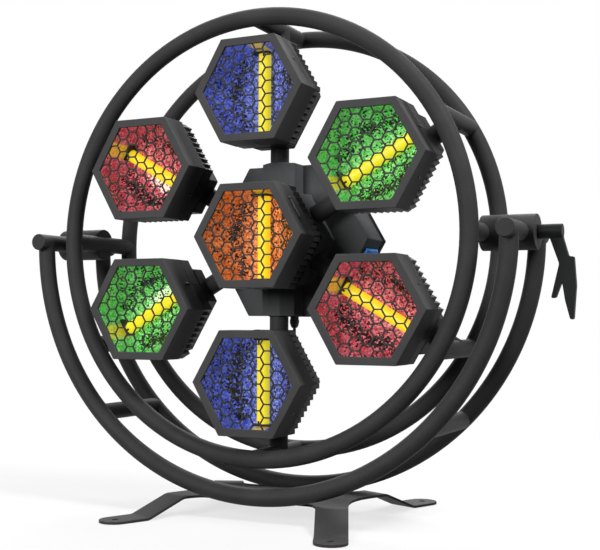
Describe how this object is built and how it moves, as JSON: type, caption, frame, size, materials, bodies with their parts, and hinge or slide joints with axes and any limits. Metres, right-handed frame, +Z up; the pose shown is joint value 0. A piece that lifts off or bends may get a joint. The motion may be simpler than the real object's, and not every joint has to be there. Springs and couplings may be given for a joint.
{
  "type": "retro led stage light",
  "caption": "Floor-standing stage light: hexagonal lamp heads with honeycomb grilles on a double tube ring that tilts in a cradle and locks with a lever.",
  "frame": {"origin": "middle of the base plate's underside, 26.5 mm above the floor that the feet stand on", "axes": "+X to the right seen from the front and along the tilt axis towards the clamp handle, +Y to the back, +Z up; the heads face -Y"},
  "size_m": [0.9153, 0.434, 0.8085],
  "materials": {
    "frame_paint": "matte black powder coat on steel tube and plate",
    "housing_coat": "matte dark grey powder coat",
    "sink_coat": "black anodised fins",
    "grille_coat": "satin dark coat on punched sheet",
    "reflector_blue": "hammered coloured reflector",
    "reflector_green": "hammered coloured reflector",
    "reflector_red": "hammered coloured reflector",
    "reflector_orange": "hammered coloured reflector",
    "lamp_yellow": "yellow phosphor tube",
    "inlet_blue": "moulded blue plastic",
    "circuit_board": "solder mask",
    "cable_rubber": "matte rubber sheath",
    "button_rubber": "moulded button"
  },
  "bodies": {
    "cradle": {"base_plate": "frame_paint", "cradle_front_half_ring": "frame_paint", "cradle_rear_half_ring": "frame_paint", "left_cradle_pivot": "frame_paint", "right_cradle_pivot": "frame_paint", "left_cradle_cross_bar": "frame_paint", "right_cradle_cross_bar": "frame_paint"},
    "head_frame": {"front_ring": "frame_paint", "rear_ring": "frame_paint", "left_ring_pivot": "frame_paint", "right_ring_pivot": "frame_paint", "top_spoke": "frame_paint", "upper_right_spoke": "frame_paint", "lower_right_spoke": "frame_paint", "bottom_spoke": "frame_paint", "lower_left_spoke": "frame_paint", "upper_left_spoke": "frame_paint", "top_housing": "housing_coat", "top_grille": "grille_coat", "top_reflector": "reflector_blue", "top_lamp": "lamp_yellow", "top_heat_sink": "sink_coat", "upper_right_housing": "housing_coat", "upper_right_grille": "grille_coat", "upper_right_reflector": "reflector_green", "upper_right_lamp": "lamp_yellow", "upper_right_heat_sink": "sink_coat", "lower_right_housing": "housing_coat", "lower_right_grille": "grille_coat", "lower_right_reflector": "reflector_red", "lower_right_lamp": "lamp_yellow", "lower_right_heat_sink": "sink_coat", "bottom_housing": "housing_coat", "bottom_grille": "grille_coat", "bottom_reflector": "reflector_blue", "bottom_lamp": "lamp_yellow", "bottom_heat_sink": "sink_coat", "lower_left_housing": "housing_coat", "lower_left_grille": "grille_coat", "lower_left_reflector": "reflector_green", "lower_left_lamp": "lamp_yellow", "lower_left_heat_sink": "sink_coat", "upper_left_housing": "housing_coat", "upper_left_grille": "grille_coat", "upper_left_reflector": "reflector_red", "upper_left_lamp": "lamp_yellow", "upper_left_heat_sink": "sink_coat", "centre_housing": "housing_coat", "centre_grille": "grille_coat", "centre_reflector": "reflector_orange", "centre_lamp": "lamp_yellow", "centre_heat_sink": "sink_coat", "control_box": "housing_coat", "control_box_cover": "housing_coat", "driver_board": "circuit_board", "power_inlet": "inlet_blue", "head_cable": "cable_rubber"},
    "clamp_handle": {"clamp_handle": "frame_paint"},
    "left_button": {"left_menu_button": "button_rubber"},
    "right_button": {"right_menu_button": "button_rubber"}
  },
  "joints": [
    {"name": "tilt", "type": "hinge", "parent": "cradle", "child": "head_frame", "pos_m": [0, 0, 0.418], "axis": [1, 0, 0], "range_deg": [-90, 90]},
    {"name": "clamp_turn", "type": "hinge", "parent": "cradle", "child": "clamp_handle", "pos_m": [0.43, 0, 0.418], "axis": [1, 0, 0], "range_deg": [0, 180]},
    {"name": "left_button_press", "type": "slide", "parent": "head_frame", "child": "left_button", "axis": [0, -1, 0], "range_m": [0, 0.0015], "stiffness_N_per_m": 600, "springref_m": -0.001},
    {"name": "right_button_press", "type": "slide", "parent": "head_frame", "child": "right_button", "axis": [0, -1, 0], "range_m": [0, 0.0015], "stiffness_N_per_m": 600, "springref_m": -0.001}
  ]
}
